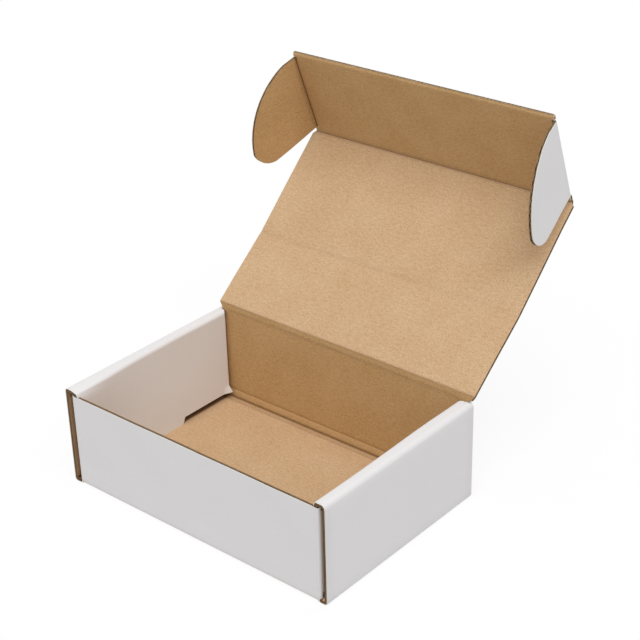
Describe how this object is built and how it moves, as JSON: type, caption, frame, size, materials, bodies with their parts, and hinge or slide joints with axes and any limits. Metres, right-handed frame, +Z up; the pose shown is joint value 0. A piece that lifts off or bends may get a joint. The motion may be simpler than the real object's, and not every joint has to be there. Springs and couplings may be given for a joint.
{
  "type": "corrugated mailer box",
  "caption": "Small folded mailer box of white and kraft corrugated board, standing open, with rolled double side walls and a hinged lid whose front flap has two fin-shaped ears.",
  "frame": {"origin": "centre of the tray's underside, on the surface that the box stands on", "axes": "+Z up, -Y out of the front wall, +Y out of the back wall that carries the lid, +X to the right seen from the front"},
  "size_m": [0.1616, 0.1775, 0.1638],
  "materials": {
    "white_board": "white coated outer liner, bare kraft inner liner, matte",
    "lid_fold_board": "white coated outer liner, bare kraft inner liner, matte",
    "lid_board": "white coated outer liner, bare kraft inner liner, matte",
    "tuck_flap_board": "white coated outer liner, bare kraft inner liner, matte",
    "left_ear_board": "white coated outer liner, bare kraft inner liner, matte",
    "right_ear_board": "white coated outer liner, bare kraft inner liner, matte"
  },
  "bodies": {
    "tray": {"tray": "white_board"},
    "lid_fold": {"lid_fold": "lid_fold_board"},
    "lid": {"lid": "lid_board"},
    "tuck_flap": {"tuck_flap": "tuck_flap_board"},
    "left_ear": {"left_ear": "left_ear_board"},
    "right_ear": {"right_ear": "right_ear_board"}
  },
  "joints": [
    {"name": "lid_hinge", "type": "hinge", "parent": "tray", "child": "lid_fold", "pos_m": [0, 0.04985, 0.05], "axis": [1, 0, 0], "range_deg": [-39, 114.1]},
    {"name": "lid_upper_score", "type": "hinge", "parent": "lid_fold", "child": "lid", "pos_m": [0, 0.05218, 0.05189], "axis": [1, 0, 0], "range_deg": [0, 24.9]},
    {"name": "tuck_hinge", "type": "hinge", "parent": "lid", "child": "tuck_flap", "pos_m": [0, 0.12615, 0.11759], "axis": [1, 0, 0], "range_deg": [-67.6, 20]},
    {"name": "left_ear_hinge", "type": "hinge", "parent": "tuck_flap", "child": "left_ear", "pos_m": [-0.07355, 0.12615, 0.11759], "axis": [0, -0.3584, 0.9336], "range_deg": [-80.5, 9.5]},
    {"name": "right_ear_hinge", "type": "hinge", "parent": "tuck_flap", "child": "right_ear", "pos_m": [0.07355, 0.12615, 0.11759], "axis": [0, 0.3584, -0.9336], "range_deg": [-80.5, 9.5]}
  ]
}
